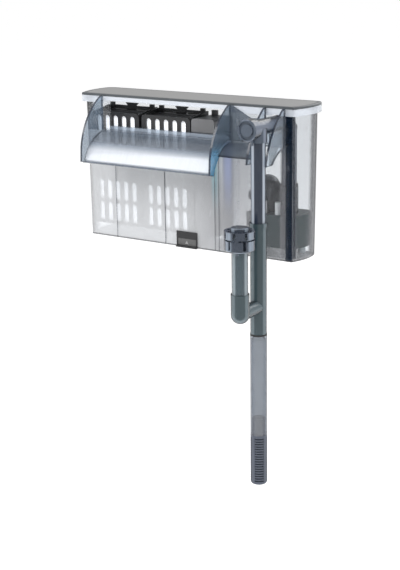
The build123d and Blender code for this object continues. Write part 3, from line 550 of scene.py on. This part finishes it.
def dress_tubes():
    """The intake tubes, the skimmer and the strainer."""
    # Each tube's second colour is the painted band on its wall, the third its painted rim shade.
    slate = tube_glass("elbow_grey", (0.06, 0.078, 0.105), (0.20, 0.23, 0.29), (0.01, 0.014, 0.022), 0.92)
    wear_on(slate, "intake_elbow", "elbow_collar", "flow_knob", "flow_plug")
    navy = tube_glass("tube_navy", (0.012, 0.019, 0.035), (0.42, 0.47, 0.54), (0.04, 0.05, 0.07), 0.95)
    wear_on(navy, "upper_tube")
    tee = tube_glass("tee_teal", (0.035, 0.056, 0.065), (0.14, 0.18, 0.20), (0.015, 0.022, 0.028), 0.92)
    wear_on(tee, "intake_tee")
    pale = tube_glass("tube_pale", (0.27, 0.28, 0.30), (0.20, 0.21, 0.24), (0.07, 0.08, 0.10), 0.42)
    wear_on(pale, "extension_tube")
    riser = tube_glass("riser_teal", (0.05, 0.075, 0.09), (0.30, 0.35, 0.38), (0.05, 0.06, 0.07), 0.8)
    wear_on(riser, "skimmer_riser")
    cup = tube_glass("cup_navy", (0.035, 0.045, 0.065), (0.30, 0.35, 0.42), (0.02, 0.026, 0.04), 0.8)
    wear_on(cup, "skimmer_cup", "skimmer_grate")
    wear_on(solid("strainer_slate", (0.05, 0.062, 0.09), 0.35), "intake_strainer")


# --------------------------------------------------------------- soft pieces
def evaluated(obj):
    """A new mesh of the object with its modifiers applied."""
    bpy.context.view_layer.update()
    graph = bpy.context.evaluated_depsgraph_get()
    return bpy.data.meshes.new_from_object(obj.evaluated_get(graph))


def bake_modifier(obj, kind, **settings):
    """Apply one modifier to the object's own mesh."""
    modifier = obj.modifiers.new(kind.lower(), kind)
    for key, value in settings.items():
        setattr(modifier, key, value)
    old = obj.data
    obj.data = evaluated(obj)
    obj.modifiers.clear()
    bpy.data.meshes.remove(old)


def swell(obj, reach):
    """Inflate a closed mesh as cloth, with no point moving further than reach."""
    frames = 20
    start = [v.co.copy() for v in obj.data.vertices]
    cloth = obj.modifiers.new("cloth", "CLOTH")
    cloth.settings.use_pressure = True
    cloth.settings.uniform_pressure_force = 4.0
    cloth.settings.effector_weights.gravity = 0.0
    cloth.settings.tension_stiffness = 8.0
    cloth.settings.compression_stiffness = 8.0
    for step in range(1, frames + 1):
        bpy.context.scene.frame_set(step)
    puffed = evaluated(obj)
    moved = [v.co.copy() for v in puffed.vertices]
    obj.modifiers.clear()
    bpy.data.meshes.remove(puffed)
    bpy.context.scene.frame_set(1)
    for vertex, old, new in zip(obj.data.vertices, start, moved):
        shift = new - old
        vertex.co = old + shift * min(1.0, reach / max(shift.length, 1e-9))


def roughen(obj, size, depth):
    """Lumps of loose fibre, pressed into the surface along its normals."""
    bpy.context.view_layer.update()
    normals = [v.normal.copy() for v in obj.data.vertices]
    for vertex, normal in zip(obj.data.vertices, normals):
        lump = noise.fractal(vertex.co / size, 0.8, 2.0, 3)
        vertex.co -= normal * depth * (0.5 + 0.5 * max(-1.0, min(1.0, lump)))


def floss_pad(number, finish):
    """The floss envelope of one cartridge, as a swollen soft form."""
    node = f"cartridge_{number}_floss"
    mesh = NODES[node].data.copy()
    pad = bpy.data.objects.new(f"floss_pad_{number}", mesh)
    bpy.context.scene.collection.objects.link(pad)
    bm = bmesh.new()
    bm.from_mesh(mesh)
    bmesh.ops.remove_doubles(bm, verts=bm.verts, dist=1e-5)
    bm.to_mesh(mesh)
    bm.free()
    bake_modifier(pad, "REMESH", mode="VOXEL", voxel_size=2.4 * MM, use_smooth_shade=True)
    bake_modifier(pad, "SMOOTH", factor=0.5, iterations=3)
    swell(pad, 1.1 * MM)
    bake_modifier(pad, "SUBSURF", levels=1, render_levels=1)
    roughen(pad, 5 * MM, 0.7 * MM)
    low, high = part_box(node)
    inset = 0.1 * MM
    for vertex in pad.data.vertices:
        for axis in range(3):
            vertex.co[axis] = min(max(vertex.co[axis], low[axis] + inset), high[axis] - inset)
    pad.data.materials.clear()
    pad.data.materials.append(finish)
    for face in pad.data.polygons:
        face.use_smooth = True
    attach(pad, f"cartridge_{number}")
    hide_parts(node)


# ------------------------------------------------------------- small details
def mesh_piece(name, build, finish, body):
    """A new mesh piece from a function that fills a bmesh."""
    mesh = bpy.data.meshes.new(name)
    bm = bmesh.new()
    build(bm)
    bmesh.ops.recalc_face_normals(bm, faces=bm.faces)
    bm.to_mesh(mesh)
    bm.free()
    mesh.materials.append(finish)
    piece = bpy.data.objects.new(name, mesh)
    bpy.context.scene.collection.objects.link(piece)
    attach(piece, body)


def push_arrow(finish):
    """Raised arrow on the leveller's face that shows which way it is pushed."""
    low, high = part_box("leveller_slide")
    centre_x = (low.x + high.x) / 2
    centre_z = (low.z + high.z) / 2
    tip, wing, height = 2.4 * MM, 1.9 * MM, 0.5 * MM
    taper = 0.8
    outline = [(-tip, -wing), (tip, -wing), (0, wing)]

    def build(bm):
        back = [bm.verts.new((centre_x + x, low.y, centre_z + z)) for x, z in outline]
        front = [
            bm.verts.new((centre_x + taper * x, low.y - height, centre_z + taper * z)) for x, z in outline
        ]
        bm.faces.new(back)
        bm.faces.new(reversed(front))
        for i in range(3):
            j = (i + 1) % 3
            bm.faces.new((back[i], back[j], front[j], front[i]))

    mesh_piece("leveller_arrow", build, finish, "leveller")


# --------------------------------------------------------------------- stage
def floor():
    """Plain pale floor, well below the strainer."""
    drop, half_width = 0.16, 12
    mesh = bpy.data.meshes.new("floor")
    bm = bmesh.new()
    bmesh.ops.create_grid(bm, x_segments=1, y_segments=1, size=half_width)
    bm.to_mesh(mesh)
    bm.free()
    plane = bpy.data.objects.new("floor", mesh)
    plane.location.z = CAD_BOX[0][2] - drop
    bpy.context.scene.collection.objects.link(plane)
    shade = Shade("floor_white")
    inputs = {"Base Color": (0.93, 0.93, 0.93), "Roughness": 0.9, "Specular IOR Level": 0.1}
    inputs["Emission Color"] = (1, 1, 1)
    inputs["Emission Strength"] = 0.3
    mesh.materials.append(shade.done(shade.surface(inputs)))


def soft_box(name, place, target, size, power):
    """A large soft light that faces target."""
    light = bpy.data.lights.new(name, "AREA")
    light.shape = "RECTANGLE"
    light.size, light.size_y = size
    light.energy = power
    lamp = bpy.data.objects.new(name, light)
    lamp.location = place
    lamp.rotation_euler = (Vector(target) - Vector(place)).to_track_quat("-Z", "Y").to_euler()
    bpy.context.scene.collection.objects.link(lamp)


def studio():
    """Three soft boxes, and a white surround that lights less from low down."""
    world = bpy.data.worlds.new("studio")
    bpy.context.scene.world = world
    world.use_nodes = True
    tree = world.node_tree
    tree.nodes.clear()
    new = tree.nodes.new
    coords, split = new("ShaderNodeTexCoord"), new("ShaderNodeSeparateXYZ")
    level = new("ShaderNodeMapRange")
    ends = {"From Min": -0.4, "From Max": 0.9, "To Min": 0.35, "To Max": 0.85}
    for name, value in ends.items():
        level.inputs[name].default_value = value
    seen, around = new("ShaderNodeBackground"), new("ShaderNodeBackground")
    mixed, path, out = new("ShaderNodeMixShader"), new("ShaderNodeLightPath"), new("ShaderNodeOutputWorld")
    link = tree.links.new
    link(coords.outputs["Generated"], split.inputs[0])
    link(split.outputs["Z"], level.inputs["Value"])
    link(level.outputs[0], around.inputs["Strength"])
    link(path.outputs["Is Camera Ray"], mixed.inputs[0])
    link(around.outputs[0], mixed.inputs[1])
    link(seen.outputs[0], mixed.inputs[2])
    link(mixed.outputs[0], out.inputs["Surface"])
    for background in (seen, around):
        background.inputs["Color"].default_value = (1, 1, 1, 1)
    seen.inputs["Strength"].default_value = 1.0
    soft_box("key", (-0.7, -1.1, 1.0), (0, 0, -0.05), (0.9, 0.9), 14)
    soft_box("fill", (1.3, -0.6, 0.5), (0, 0, -0.1), (0.8, 1.2), 7)
    soft_box("back", (0.3, 1.3, 0.9), (0, 0, -0.05), (1.2, 0.8), 9)


def camera():
    """Long lens, from the right of the front and a little above."""
    azimuth, elevation, roll = math.radians(34.0), math.radians(15.55), -0.0152
    distance = 1.3604
    middle = (Vector(CAD_BOX[0]) + Vector(CAD_BOX[1])) / 2
    target = middle + Vector((0.0189, 0.0142, -0.0016))
    back = Vector(
        (
            math.sin(azimuth) * math.cos(elevation),
            -math.cos(azimuth) * math.cos(elevation),
            math.sin(elevation),
        )
    )
    right = Vector((math.cos(azimuth), math.sin(azimuth), 0))
    up = back.cross(right)
    turned_right = right * math.cos(roll) + up * math.sin(roll)
    turned_up = up * math.cos(roll) - right * math.sin(roll)
    lens = bpy.data.cameras.new("camera")
    lens.lens = 80.55
    lens.sensor_width = 36.0
    lens.clip_end = 50
    view = bpy.data.objects.new("camera", lens)
    turn = Matrix((turned_right, turned_up, back)).transposed().to_4x4()
    view.matrix_world = Matrix.Translation(target + back * distance) @ turn
    bpy.context.scene.collection.objects.link(view)
    bpy.context.scene.camera = view


bpy.context.scene.view_settings.view_transform = "Standard"
bpy.context.scene.cycles.transparent_max_bounces = 32
dress_casing()
dress_media()
dress_pump()
dress_tubes()
fibre = floss_fibre()
floss_pad(1, fibre)
floss_pad(2, fibre)
push_arrow(solid("arrow_grey", (0.28, 0.28, 0.28), 0.35))
floor()
studio()
camera()
